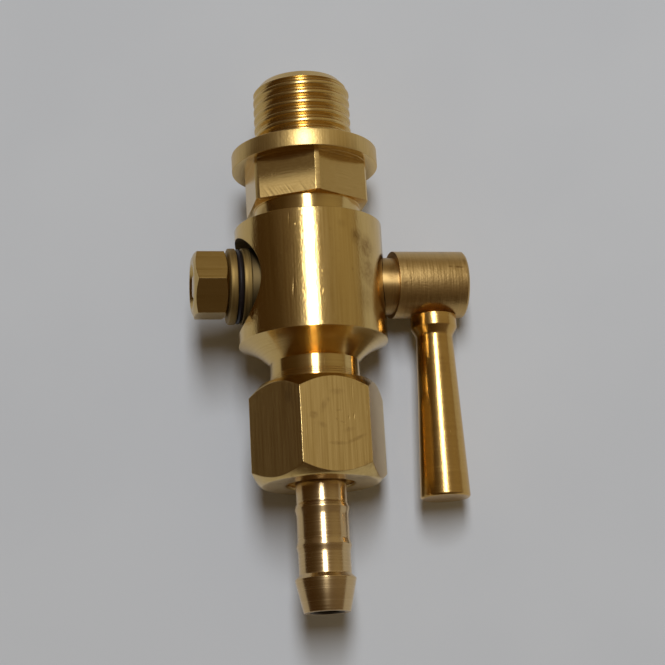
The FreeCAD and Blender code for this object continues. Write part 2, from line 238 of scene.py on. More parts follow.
def draw_wire(name: str, points: list[Vector], closed: bool) -> Piece:
    """Draw a run of edges by extruding one vertex from point to point.

    Args:
        name: Name of the new piece.
        points: Points of the run in metres.
        closed: Whether an edge joins the last point to the first.

    Returns:
        The new piece, left in edit mode with all of it selected.
    """
    clear_bench()
    bpy.ops.mesh.primitive_plane_add(size=MM, location=(0, 0, 0))
    piece = call_new(name)
    edit_all(piece)
    bpy.ops.mesh.merge(type="CENTER")
    bpy.ops.transform.translate(value=points[0])
    for before, after in zip(points, points[1:]):
        bpy.ops.mesh.extrude_region_move(TRANSFORM_OT_translate={"value": after - before})
    if closed:
        bpy.ops.object.mode_set(mode="OBJECT")
        for vertex in piece.data.vertices:
            vertex.select = vertex.index in (0, len(points) - 1)
        for edge in piece.data.edges:
            edge.select = False
        bpy.ops.object.mode_set(mode="EDIT")
        bpy.ops.mesh.edge_face_add()
    bpy.ops.mesh.select_all(action="SELECT")
    return piece


def close_up(piece: Piece) -> None:
    """Merge doubled points and turn every face outwards.

    Args:
        piece: The piece to clean.
    """
    edit_all(piece)
    bpy.ops.mesh.remove_doubles(threshold=MICRON)
    bpy.ops.mesh.dissolve_degenerate(threshold=MICRON / 10)
    bpy.ops.mesh.select_all(action="SELECT")
    bpy.ops.mesh.normals_make_consistent(inside=False)
    bpy.ops.object.mode_set(mode="OBJECT")


def turn(name: str, outline: Outline, centre: Centre, ring: bool = False) -> Piece:
    """Turn an outline about an axis, as on a lathe.

    Args:
        name: Name of the new piece.
        outline: Corners as radius, height and an optional rounding, in millimetres.
        centre: Axis of the lathe.
        ring: Whether the outline closes on itself, clear of the axis.

    Returns:
        The turned solid.
    """
    points = [centre.place(spot.x, spot.y) for spot in ease(outline, ring)]
    piece = draw_wire(name, points, ring)
    middle, way = Vector(centre.origin) * MM, Vector(centre.along)
    bpy.ops.mesh.spin(steps=STEPS, angle=2 * math.pi, center=middle, axis=way)
    close_up(piece)
    return piece


def rod(name: str, radius: float, start: float, end: float, centre: Centre) -> Piece:
    """Turn a plain rod that runs from start to end along its axis, in millimetres."""
    return turn(name, [(0, start), (radius, start), (radius, end), (0, end)], centre)


def hexagon_bar(
    name: str, across: float, low: float, high: float, centre: Centre, degrees: float
) -> Piece:
    """Cut a length of hexagon bar.

    Args:
        name: Name of the new piece.
        across: Size across flats in millimetres.
        low: Where the bar starts along its axis.
        high: Where it ends.
        centre: Axis of the bar.
        degrees: Turn of its corners about that axis.

    Returns:
        The bar.
    """
    clear_bench()
    bpy.ops.mesh.primitive_cylinder_add(
        vertices=6,
        radius=across / 2 / math.cos(math.radians(30)) * MM,
        depth=(high - low) * MM,
        location=centre.place(0, (low + high) / 2),
        rotation=centre.turn_matrix(degrees).to_euler(),
    )
    piece = call_new(name)
    bpy.ops.object.transform_apply()
    edit_all(piece)
    bpy.ops.mesh.subdivide(number_cuts=HEXAGON_CUTS)
    bpy.ops.object.mode_set(mode="OBJECT")
    return piece


def block(name: str, low: Corner, high: Corner) -> Piece:
    """Make a square block between two corners, as a cutter.

    Args:
        name: Name of the new piece.
        low: Lowest corner in millimetres.
        high: Highest corner in millimetres.

    Returns:
        The block.
    """
    clear_bench()
    middle = (Vector(low) + Vector(high)) / 2 * MM
    bpy.ops.mesh.primitive_cube_add(size=1.0, location=middle)
    piece = call_new(name)
    piece.scale = (Vector(high) - Vector(low)) * MM
    bpy.ops.object.transform_apply()
    return piece


class Join(Enum):
    """Ways in which one solid works on another."""

    CUT = "DIFFERENCE"
    KEEP = "INTERSECT"
    ADD = "UNION"


def combine(piece: Piece, tool: Piece, way: Join) -> None:
    """Work one solid with another, which is used up.

    Args:
        piece: The solid that stays.
        tool: The solid that works on it.
        way: Whether it cuts, limits or adds.
    """
    pick(piece)
    bpy.ops.object.modifier_add(type="BOOLEAN")
    modifier = piece.modifiers[-1]
    modifier.operation = way.value
    modifier.solver = "EXACT"
    modifier.object = tool
    bpy.ops.object.modifier_apply(modifier=modifier.name)
    pick(tool)
    bpy.ops.object.delete()
    close_up(piece)


def slice_off(piece: Piece, spot: Vector, outward: Vector) -> None:
    """Cut a piece with a plane and keep the side that the plane turns its back on.

    Args:
        piece: The piece to cut.
        spot: A point of the plane in metres.
        outward: Direction of the side that goes.
    """
    edit_all(piece)
    bpy.ops.mesh.bisect(plane_co=spot, plane_no=outward, use_fill=True, clear_outer=True)
    close_up(piece)


@dataclass(frozen=True)
class ThreadForm:
    """A right-hand rounded thread of 55 degrees, in millimetres and parts of its pitch."""

    crest: float
    pitch: float
    depth: float = 0.38
    shape: tuple[Corner, ...] = (
        (0.0, 1.0), (0.05, 0.97), (0.10, 0.86), (0.15, 0.70), (0.29, 0.18), (0.32, 0.09),
        (0.35, 0.03), (0.39, 0.005), (0.48, 0.0), (0.57, 0.01), (0.62, 0.05), (0.66, 0.13),
        (0.69, 0.22), (0.85, 0.74), (0.90, 0.88), (0.95, 0.97), (1.0, 1.0),
    )

    def cut_rod(self, name: str, low: float, high: float, centre: Centre) -> Piece:
        """Make a threaded rod by winding one pitch up the axis.

        Args:
            name: Name of the new piece.
            low: Start along the axis in millimetres.
            high: End along it.
            centre: Axis of the rod, which must be the tap's own.

        Returns:
            The rod, closed at both ends.
        """
        start, depth = low - self.pitch, self.depth * self.pitch
        points = [
            centre.place(self.crest - sunk * depth, start + share * self.pitch)
            for share, sunk in self.shape
        ]
        piece = draw_wire(name, points, False)
        pick(piece)
        bpy.ops.object.modifier_add(type="SCREW")
        winding = piece.modifiers[-1]
        winding.axis = "Z"
        winding.angle = 2 * math.pi
        winding.screw_offset = self.pitch * MM
        winding.iterations = math.ceil((high - low) / self.pitch) + 2
        winding.steps = winding.render_steps = THREAD_STEPS
        bpy.ops.object.modifier_apply(modifier=winding.name)
        close_up(piece)
        slice_off(piece, centre.place(0, high), Vector(centre.along))
        slice_off(piece, centre.place(0, low), -Vector(centre.along))
        return piece


def finish_piece(
    piece: Piece, material: bpy.types.Material, body: str, node: str
) -> None:
    """Smooth a piece, give it its finish and hang it on its CAD body.

    Args:
        piece: The finished mesh.
        material: Its finish.
        body: The moving body that carries it.
        node: The CAD node that it stands for.
    """
    pick(piece)
    bpy.ops.object.shade_smooth_by_angle(angle=math.radians(SMOOTH_ANGLE))
    piece.data.materials.clear()
    piece.data.materials.append(material)
    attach(piece, body)
    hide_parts(node)
    log.info("%s: %d faces for %s", piece.name, len(piece.data.polygons), node)


@dataclass(frozen=True)
class Mark:
    """One dent, stain or patch of painted shade, in millimetres, turned about Y by some degrees."""

    middle: Corner
    size: Corner
    turn: float = 0.0
    depth: float = 0.0
    dark: float = 0.0


@dataclass(frozen=True)
class Field:
    """A value that varies over a surface; working on it adds nodes to its graph."""

    graph: "Graph"
    socket: bpy.types.NodeSocket

    def work(self, operation: str, other: "Value" = 0.0, clamp: bool = False) -> "Field":
        """Work on this and another value with a Math node."""
        traits = {"operation": operation, "use_clamp": clamp}
        return self.graph.add("ShaderNodeMath", self, other, traits=traits)

    def __add__(self, other: "Value") -> "Field":
        """Add a value."""
        return self.work("ADD", other)

    def __sub__(self, other: "Value") -> "Field":
        """Take a value off."""
        return self.work("SUBTRACT", other)

    def __mul__(self, other: "Value") -> "Field":
        """Multiply by a value."""
        return self.work("MULTIPLY", other)

    def most(self, other: "Value") -> "Field":
        """Give the larger of this and another value."""
        return self.work("MAXIMUM", other)

    def span(
        self, low: float, high: float, to_low: float = 0.0, to_high: float = 1.0
    ) -> "Field":
        """Stretch the range from low to high onto another, eased and held at its ends."""
        traits = {"interpolation_type": "SMOOTHSTEP"}
        return self.graph.add("ShaderNodeMapRange", self, low, high, to_low, to_high, traits=traits)

    def step(self, low: float, high: float, *ends: float) -> "Field":
        """Do the same with a distance, whose range is given in millimetres."""
        return self.span(low * MM, high * MM, *ends)

    def band(self, low: float, high: float) -> "Field":
        """Find where a distance lies between two limits in millimetres."""
        rise = self.step(low - SOFT_EDGE, low + SOFT_EDGE)
        return rise * self.step(high - SOFT_EDGE, high + SOFT_EDGE, 1.0, 0.0)


Value = Field | float | tuple


@dataclass(frozen=True)
class Spot:
    """Where a surface point lies about an axis, as fields in metres."""

    graph: "Graph"
    radius: Field
    along: Field
    first: Field
    second: Field


class Graph:
    """Node tree of a material or the world, with short calls to add and join its nodes."""

    def __init__(self, owner: bpy.types.ID, surface: str = "Principled BSDF") -> None:
        """Open the tree.

        Args:
            owner: The new material or world.
            surface: Name of its main shader.
        """
        owner.use_nodes = True
        self.owner = owner
        self.tree = owner.node_tree
        self.surface = self.tree.nodes[surface]
        self.place = self.add("ShaderNodeTexCoord", output="Object")

    def feed(self, socket: bpy.types.NodeSocket, value: Value) -> None:
        """Join a field to an input, or put a plain value on it.

        Args:
            socket: The input.
            value: A field, a number, a vector or a colour.
        """
        if isinstance(value, Field):
            self.tree.links.new(value.socket, socket)
        elif socket.type == "RGBA":
            socket.default_value = (*value, 1.0)
        else:
            socket.default_value = value

    def add(
        self,
        kind: str,
        *ordered: Value,
        traits: dict | None = None,
        output: int | str = 0,
        **named: Value,
    ) -> Field:
        """Add a node.

        Args:
            kind: Type of the node.
            ordered: Values for its first inputs.
            traits: Settings of the node itself.
            output: Which of its outputs is read.
            named: Values for inputs by name, with low lines for spaces.

        Returns:
            The output's field.
        """
        node = self.tree.nodes.new(kind)
        for name, setting in (traits or {}).items():
            setattr(node, name, setting)
        for socket, value in zip(node.inputs, ordered):
            self.feed(socket, value)
        for name, value in named.items():
            self.feed(node.inputs[name.replace("_", " ")], value)
        return Field(self, node.outputs[output])

    def dress(self, **named: Value) -> None:
        """Set inputs of the surface shader, by name with low lines for spaces."""
        for name, value in named.items():
            self.feed(self.surface.inputs[name.replace("_", " ")], value)

    def mix(self, kind: str, first_input: int, output: int, *values: Value) -> Value:
        """Mix two values, or give one of them back where it has the whole share.

        Args:
            kind: What is mixed, in the Mix node's own words.
            first_input: Where that kind's two inputs start.
            output: Where its output is.
            values: The second one's share, the first and the second.

        Returns:
            The mixed field, or the value that fills it.
        """
        share, first, second = values
        if share in (0.0, 1.0):
            return second if share else first
        node = self.tree.nodes.new("ShaderNodeMix")
        node.data_type = kind
        for index, value in zip((0, first_input, first_input + 1), values):
            self.feed(node.inputs[index], value)
        return Field(self, node.outputs[output])

    def blend(self, share: Value, first: Value, second: Value) -> Value:
        """Mix two numbers."""
        return self.mix("FLOAT", 2, 0, share, first, second)

    def tint(self, share: Value, first: Value, second: Value) -> Value:
        """Mix two colours, or two directions."""
        return self.mix("RGBA", 6, 2, share, first, second)

    def vectors(
        self, operation: str, first: Value, second: Value = (0, 0, 0), output: int | str = 0
    ) -> Field:
        """Work on one or two vectors."""
        traits = {"operation": operation}
        return self.add("ShaderNodeVectorMath", first, second, traits=traits, output=output)

    def join(self, *parts: Value) -> Field:
        """Join up to three numbers into a vector."""
        return self.add("ShaderNodeCombineXYZ", *parts)

    def relief(self, height: Value, depth: float, **base: Value) -> Field:
        """Raise the surface by a height, given in units of a depth in micrometres."""
        inputs = {"Height": height, "Distance": depth * MICRON, "Strength": 1.0, **base}
        return self.add("ShaderNodeBump", **inputs)

    def stretch(
        self,
        scale: Corner = (1, 1, 1),
        turn: Corner = (0, 0, 0),
        shift: Corner = (0, 0, 0),
        way: str = "POINT",
    ) -> Field:
        """Read the piece's own place through a stretched and turned frame.

        Args:
            scale: Stretch on each axis.
            turn: Turn on each axis in degrees.
            shift: Shift on each axis in metres.
            way: Whether the place or the frame is moved, in the Mapping node's own words.

        Returns:
            The vector's field.
        """
        angles = [math.radians(angle) for angle in turn]
        traits = {"vector_type": way}
        return self.add("ShaderNodeMapping", self.place, shift, angles, scale, traits=traits)

    def blob(self, mark: Mark) -> Field:
        """Find the soft spot that one mark covers.

        Args:
            mark: The mark.

        Returns:
            A field that is 1 in its middle and 0 outside it.
        """
        size, middle = ([value * MM for value in part] for part in (mark.size, mark.middle))
        inside = self.stretch(size, (0, mark.turn, 0), middle, "TEXTURE")
        return self.vectors("LENGTH", inside, output="Value").span(*BLOB_RANGE)

    def about(self, centre: Centre) -> Spot:
        """Work out where the surface point lies about an axis.

        Args:
            centre: The axis.

        Returns:
            Its distances off the axis, along it and to its two sides.
        """
        offset = self.vectors("SUBTRACT", self.place, Vector(centre.origin) * MM)
        node = self.add("ShaderNodeSeparateXYZ", offset).socket.node
        parts = [Field(self, socket) for socket in node.outputs]
        along, first, second = (parts[2], *parts[:2]) if centre.upright else parts
        radius = (first * first + second * second).work("SQRT")
        return Spot(self, radius, along, first, second)

    def round_way(self, centre: Centre, spot: Spot) -> Field:
        """Find the direction that runs round an axis.

        Args:
            centre: The axis.
            spot: Where the surface point lies about it.

        Returns:
            The direction, in the scene's own frame.
        """
        back = spot.second * -1.0
        own = self.join(back, spot.first) if centre.upright else self.join(0.0, back, spot.first)
        traits = {"vector_type": "NORMAL", "convert_from": "OBJECT", "convert_to": "WORLD"}
        return self.add("ShaderNodeVectorTransform", own, traits=traits)

    def grain(
        self, vector: Value, scale: float, detail: float = 2.0, rough: float = 0.5
    ) -> Field:
        """Read noise, with its features to the metre, octaves and their strength."""
        inputs = {"Vector": vector, "Scale": scale, "Detail": detail, "Roughness": rough}
        return self.add("ShaderNodeTexNoise", output="Fac", **inputs)


class Lay(Enum):
    """Main direction of the marks that a tool left."""

    RINGS = "rings"
    LINES = "lines"


@dataclass(frozen=True)
class BrassFinish:
    """A machined brass surface with tool marks, stains, scratches, edges lightened as wear and as a
    painted highlight, and painted shade.
    """

    name: str
    colour: Colour
    deep: Colour
    centre: Centre
    lay: Lay = Lay.RINGS
    roughness: float = 0.2
    mark_depth: float = 2.2
    mark_scale: float = 5200.0
    streaks: float = 0.35
    stains: float = 0.5
    scratches: float = 0.6
    edge_share: float = 0.6
    edge_radius: float = 0.08
    brushing: float = 0.6
    speckle: float = 1.0
    # Radius of a bore that is darkened with painted shade, or 0 for none.
    painted_shade_bore: float = 0.0
    seed: float = 0.0
    marks: tuple[Mark, ...] = ()

    def rings(self, spot: Spot) -> Field:
        """Read the fine rings that turning leaves, the same all the way round."""
        vector = spot.graph.join(spot.radius, self.seed, spot.along)
        return spot.graph.grain(vector, self.mark_scale, 3.0, 0.65)

    def lines(self, spot: Spot) -> Field:
        """Read the lengthways lines that drawing leaves on a bar."""
        vector = spot.graph.join(spot.first, spot.second, spot.along * 0.02)
        return spot.graph.grain(vector, self.mark_scale * 0.75, 3.0, 0.6)

    def bar_share(self, spot: Spot) -> Value:
        """Find where the drawn bar's own skin is left, from 0 to 1."""
        return 1.0 if self.lay is Lay.LINES else 0.0

    def tool_marks(self, spot: Spot) -> Field:
        """Read the marks left by turning and drawing."""
        return spot.graph.blend(self.bar_share(spot), self.rings(spot), self.lines(spot))

    def base_roughness(self, spot: Spot) -> Value:
        """Give the roughness before stains and scratches."""
        return self.roughness

    def lay_share(self, spot: Spot) -> Value:
        """Find where the tool marks run lengthways, from 0 to 1."""
        return self.bar_share(spot)

    def speckle_depth(self, spot: Spot) -> Value:
        """Give the depth of the fine matte grain in micrometres."""
        return self.speckle

    def brushing_share(self, spot: Spot) -> Value:
        """Give how far the tool marks stretch a highlight, from 0 to 1."""
        return self.brushing

    def extra_height(self, spot: Spot) -> Value:
        """Height of relief of one piece's own, in micrometres."""
        return 0.0

    def painted_shade(self, spot: Spot) -> Value:
        """Find the painted shade in the bore, from 0 to 1, where a bore radius is given."""
        edge = self.painted_shade_bore
        return spot.radius.step(edge, edge - 0.15, 0.0, 0.95) if edge else 0.0

    def across(self, spot: Spot) -> Value:
        """Find the way across the tool marks, in which they stretch a highlight.

        Args:
            spot: Where the surface point lies.

        Returns:
            The direction.
        """
        around = spot.graph.round_way(self.centre, spot)
        normal = spot.graph.add("ShaderNodeNewGeometry", output="Normal")
        upwards = spot.graph.vectors("CROSS_PRODUCT", normal, around)
        return spot.graph.tint(self.lay_share(spot), upwards, around)

    def scratch_marks(self, graph: Graph) -> Field:
        """Read thin stray scratches that run in two directions.

        Args:
            graph: The finish's node tree.

        Returns:
            A field that is 1 in a scratch and 0 elsewhere.
        """
        shift = (self.seed * 0.01, 0.003, self.seed * 0.02)
        runs = []
        for lean, scale in SCRATCH_RUNS:
            field = graph.grain(graph.stretch((1, 1, 0.06), lean, shift), scale, 1.0, 0.4)
            off = (field - SCRATCH_LEVEL).work("ABSOLUTE")
            runs.append(off.span(0.0, SCRATCH_WIDTH, 1.0, 0.0))
        patches = graph.grain(graph.stretch(shift=shift), PATCH_SCALE).span(*PATCH_RANGE)
        return runs[0].most(runs[1]) * patches

    def worn_edges_and_sheen(self, soft: Field) -> Field:
        """Find the edges, where the softened normal leans, which are lightened both as wear
        polished by handling and as a painted highlight.
        """
        plain = soft.graph.add("ShaderNodeNewGeometry", output="Normal")
        return soft.graph.vectors("DOT_PRODUCT", soft, plain, "Value").span(*EDGE_RANGE)

    def dents_stains_and_shade(self, cloud: Field) -> tuple[Value, Value]:
        """Lay down the marks that the piece picked up in use, and the patches of painted shade
        among them.

        Args:
            cloud: Noise that breaks up the stains.

        Returns:
            Their height in micrometres and their darkness.
        """
        height: Value = 0.0
        dark: Value = 0.0
        broken = cloud.span(*BROKEN_RANGE)
        for mark in self.marks:
            blob = cloud.graph.blob(mark)
            if mark.depth:
                height = blob * -mark.depth + height
            if mark.dark:
                dark = (blob * broken * mark.dark).most(dark)
        return height, dark

    def make(self) -> bpy.types.Material:
        """Build the material.

        Returns:
            The material.
        """
        graph = Graph(bpy.data.materials.new(self.name))
        traits = {"samples": 4}
        soft = graph.add("ShaderNodeBevel", traits=traits, Radius=self.edge_radius * MM)
        spot = graph.about(self.centre)
        marks = self.tool_marks(spot)
        scratches = self.scratch_marks(graph) * self.scratches
        shift = (self.seed * 0.013, self.seed * 0.007, 0.0)
        cloud = graph.grain(graph.stretch((1, 1, 0.6), shift=shift), *CLOUD_NOISE)
        spots = graph.grain(graph.stretch(shift=shift), *SPOT_NOISE)
        # The darkness of the marks holds real stains and patches of painted shade.
        dents, stains = self.dents_stains_and_shade(spots)
        stain_and_shade = cloud.span(*CLOUD_RANGE).most(spots.span(*SPOT_RANGE)) * self.stains
        stain_and_shade = stain_and_shade.work("MAXIMUM", stains, clamp=True)
        # Painted shade in the recess and the bore, which turns the colour near-black.
        painted_shade = self.painted_shade(spot)
        # Dark colour for the stains and for the patches of painted shade.
        dark = tuple(value * share for value, share in zip(self.deep, STAIN_AND_SHADE_TONES))
        bright = tuple(min(1.0, value * 1.1 + 0.05) for value in self.colour)
        tone = graph.tint(marks.span(*TONE_RANGE), self.deep, self.colour)
        tone = graph.tint(stain_and_shade * STAIN_AND_SHADE_SHARE, tone, dark)
        # Lighter colour on the edges, partly polished wear and partly a painted highlight.
        tone = graph.tint(self.worn_edges_and_sheen(soft) * self.edge_share, tone, bright)
        tone = graph.tint(painted_shade, tone, PAINTED_SHADE_COLOUR)
        rough = marks.span(*STREAK_RANGE) * (self.streaks * self.roughness)
        rough += self.base_roughness(spot)
        rough = rough + stain_and_shade * STAIN_ROUGHNESS + painted_shade * PAINTED_SHADE_ROUGHNESS
        rough = rough.work("ADD", scratches * SCRATCH_ROUGHNESS, clamp=True)
        height = marks * self.mark_depth - scratches * SCRATCH_DEPTH
        height += graph.grain(graph.place, *SPECKLE_NOISE) * self.speckle_depth(spot)
        height = height + dents + self.extra_height(spot)
        graph.dress(
            Base_Color=tone,
            Roughness=rough,
            Normal=graph.relief(height, 1.0, Normal=soft),
            Metallic=1.0,
            Anisotropic=self.brushing_share(spot),
            Tangent=self.across(spot),
        )
        return graph.owner


@dataclass(frozen=True)
class BodyFinish(BrassFinish):
    """The body's brass: drawn bar on its widest parts, milled flats, turned shoulders."""

    flange_roughness: float = 0.37
    flat_roughness: float = 0.2
    bar_roughness: float = 0.17
    recess_roughness: float = 0.42
    thread_roughness: float = 0.27
    bar_speckle: float = 17.0

    def flats(self, spot: Spot) -> Field:
        """Find the hexagon, from 0 to 1."""
        return spot.radius.band(7.3, 9.2) * spot.along.band(-8.3, -2.36)

    def milled(self, spot: Spot) -> Field:
        """Find the left front flat, from 0 to 1."""
        return spot.first.band(-7.0, -0.1) * spot.second.step(-4.0, -4.5) * self.flats(spot)

    def bar_share(self, spot: Spot) -> Field:
        """Find the flange's rim and the barrel, from 0 to 1."""
        return spot.radius.step(9.7, 9.8) * spot.along.step(-26.75, -26.65)

    def recess(self, graph: Graph) -> Field:
        """Find the recess behind the washers, from 0 to 1."""
        spot = graph.about(SPINDLE_AXIS)
        return spot.radius.step(6.5, 6.35) * spot.along.step(-7.1, -7.2)

    def base_roughness(self, spot: Spot) -> Field:
        """Give each kind of surface its own roughness.

        Args:
            spot: Where the surface point lies.

        Returns:
            The roughness.
        """
        blend = spot.graph.blend
        bar = spot.along.step(-6.0, -5.0, self.bar_roughness, self.flange_roughness)
        rough = blend(self.bar_share(spot), self.roughness, bar)
        rough = blend(self.flats(spot), rough, self.flat_roughness)
        rough += self.milled(spot) * spot.along.step(-4.2, -6.9, 0.0, 0.27)
        rough = blend(spot.along.step(0.8, 1.0), rough, self.thread_roughness)
        return blend(self.recess(spot.graph), rough, self.recess_roughness)

    def speckle_depth(self, spot: Spot) -> Value:
        """Leave the bar's own skin with more grain than the cut parts."""
        return spot.graph.blend(self.bar_share(spot), self.speckle, self.bar_speckle)

    def brushing_share(self, spot: Spot) -> Value:
        """Leave the recess and the bar's skin with hardly any lay."""
        plain = spot.graph.blend(self.bar_share(spot), self.brushing, 0.1)
        return spot.graph.blend(self.recess(spot.graph), plain, 0.0)

    def lay_share(self, spot: Spot) -> Field:
        """Find where the marks run lengthways, on the bar's skin and on the flats."""
        return self.bar_share(spot).most(self.flats(spot))

    def painted_shade(self, spot: Spot) -> Field:
        """Paint shade into the recess, darkest at its top and its foot."""
        level = spot.graph.about(SPINDLE_AXIS).second
        return self.recess(spot.graph) * level.step(*PAINTED_SHADE_TOP).most(level.step(*PAINTED_SHADE_FOOT))

    def extra_height(self, spot: Spot) -> Field:
        """Cut the slanted strokes of the mill along the foot of the left front flat."""
        way = spot.graph.join(spot.along * 0.55 + spot.first, self.seed)
        return spot.graph.grain(way, 2300.0, 1.0) * spot.along.step(*MILL_FOOT) * self.milled(spot)


@dataclass(frozen=True)
class PlugFinish(BrassFinish):
    """The plug's brass: its head is mottled and the stud's end is bright."""

    head_roughness: float = 0.35
    head_speckle: float = 20.0
    end_roughness: float = 0.12

    def head(self, spot: Spot) -> Field:
        """Find the head's round, from 0 to 1."""
        return spot.radius.step(4.1, 4.2) * spot.along.step(10.8, 11.0)

    def stud_end(self, spot: Spot) -> Field:
        """Find the stud's end, from 0 to 1."""
        return spot.along.step(-15.0, -15.2)

    def base_roughness(self, spot: Spot) -> Value:
        """Give the head and the stud's end a roughness of their own."""
        plain = spot.graph.blend(self.head(spot), self.roughness, self.head_roughness)
        return spot.graph.blend(self.stud_end(spot), plain, self.end_roughness)

    def speckle_depth(self, spot: Spot) -> Value:
        """Leave the head with more grain than the rest."""
        return spot.graph.blend(self.head(spot), self.speckle, self.head_speckle)

    def brushing_share(self, spot: Spot) -> Value:
        """Leave the head and the stud's end without a lay."""
        plain = spot.graph.blend(self.head(spot), self.brushing, 0.05)
        return spot.graph.blend(self.stud_end(spot), plain, 0.0)


@dataclass(frozen=True)
class RubberFinish:
    """Black rubber with fine moulding grain and a little dust."""

    name: str = "sealing_rubber"
    colour: Colour = (0.014, 0.010, 0.010)
    dust: Colour = (0.05, 0.045, 0.04)

    def make(self) -> bpy.types.Material:
        """Build the material.

        Returns:
            The material.
        """
        graph = Graph(bpy.data.materials.new(self.name))
        grain = graph.grain(graph.place, 3000.0, 3.0)
        dust = graph.grain(graph.place, 800.0, 4.0).span(0.55, 0.75) * 0.4
        graph.dress(
            Base_Color=graph.tint(dust, self.colour, self.dust),
            Roughness=grain.span(0.3, 0.7, 0.34, 0.48),
            Normal=graph.relief(grain, 2.0),
            Specular_IOR_Level=0.3,
        )
        return graph.owner


BODY_MARKS = (
    Mark((-3.78, -9.08, -21.6), (0.16, 0.4, 1.9), 3, depth=15.0),
    Mark((-3.45, -9.15, -21.3), (0.1, 0.4, 1.5), -4, depth=-4.0),
    Mark((-3.95, -9.05, -12.1), (0.1, 0.3, 1.3), 1, depth=10.0),
    Mark((-3.2, -9.33, -13.2), (0.12, 0.3, 0.4), 20, depth=8.0),
    Mark((0.02, -9.86, -18.95), (0.1, 0.3, 0.35), 70, depth=5.0),
    Mark((-0.15, -9.86, -19.6), (0.09, 0.3, 0.6), -40, depth=4.0),
    Mark((0.8, -9.83, -21.1), (0.1, 0.3, 0.5), 25, depth=4.5),
    Mark((0.72, -9.83, -22.2), (0.14, 0.3, 0.35), 10, depth=4.5),
    Mark((-0.2, -9.86, -22.2), (0.09, 0.3, 0.7), 8, depth=4.0),
    Mark((1.45, -9.75, -24.8), (0.12, 0.3, 0.3), depth=9.0),
    Mark((4.04, -8.99, -19.06), (0.18, 0.3, 0.2), dark=1.0),
    Mark((4.9, -8.56, -14.5), (1.4, 1.2, 1.6), dark=0.8),
    Mark((6.3, -7.6, -15.8), (2.0, 1.8, 2.4), dark=0.9),
    Mark((6.3, -7.6, -18.8), (1.8, 1.8, 3.4), dark=0.75),
    Mark((5.8, -8.0, -22.6), (1.7, 1.7, 2.8), dark=0.45),
    Mark((2.9, -9.4, -13.0), (1.0, 1.0, 0.8), dark=0.2),
    # Painted shade just under the flange at its left end.
    Mark((-7.3, -4.2, -2.4), (1.8, 1.8, 0.5), dark=0.7),
    # Painted shade in the waist between the hexagon and the barrel, at its left.
    Mark((-5.9, -3.6, -9.5), (2.4, 2.6, 1.5), dark=0.9),
)
PLUG_MARKS = (
    # Painted shade on the plug's neck between the barrel and the head, which dims its highlight.
    Mark((10.6, -3.7, -17.9), (1.3, 1.4, 1.6), dark=0.8),
    Mark((19.4, -4.3, -17.3), (1.0, 0.6, 0.25), 4, depth=6.0, dark=0.9),
    Mark((18.3, -4.4, -17.2), (0.5, 0.5, 0.2), depth=8.0, dark=1.0),
    Mark((20.2, -4.2, -18.0), (0.5, 0.6, 0.5), dark=0.8),
    Mark((20.3, -4.2, -16.3), (0.4, 0.8, 0.9), dark=0.5),
    Mark((14.7, -4.4, -19.6), (0.6, 0.5, 0.08), 8, depth=9.0),
    Mark((14.8, -4.4, -20.0), (0.7, 0.5, 0.08), 14, depth=9.0),
    Mark((13.4, -4.4, -17.2), (0.25, 0.5, 0.2), depth=5.0),
    Mark((14.4, -4.4, -17.1), (0.2, 0.5, 0.25), depth=5.0),
)
UNION_MARKS = (
    Mark((1.5, -7.82, -37.45), (0.55, 0.4, 0.14), depth=12.0, dark=0.4),
    Mark((3.36, -7.58, -38.15), (0.16, 0.4, 0.55), 4, depth=12.0, dark=0.3),
    Mark((2.7, -7.67, -38.3), (0.16, 0.4, 0.3), depth=10.0, dark=0.3),
    Mark((1.85, -7.77, -38.95), (0.5, 0.4, 0.12), 20, depth=9.0, dark=0.3),
    Mark((-1.9, -8.2, -38.0), (0.75, 0.5, 0.68), dark=0.8),
    Mark((-0.5, -8.07, -36.8), (0.6, 0.5, 1.36), 20, dark=0.5),
    Mark((1.3, -7.84, -34.95), (1.5, 0.5, 0.59), dark=0.4),
    Mark((-0.75, -8.1, -39.3), (0.9, 0.5, 0.51), 30, dark=0.5),
    Mark((1.25, -7.85, -41.6), (1.95, 0.5, 0.37), 2, dark=0.7),
    Mark((3.6, -7.55, -41.0), (2.1, 0.5, 0.37), -24, dark=0.65),
    Mark((2.6, -7.7, -39.9), (1.5, 0.5, 0.42), -15, dark=0.35),
    Mark((3.3, -7.58, -35.0), (0.13, 0.4, 2.2), 0.5, depth=6.0),
    Mark((4.9, -7.4, -34.0), (0.45, 0.5, 0.2), 10, depth=10.0, dark=0.5),
)


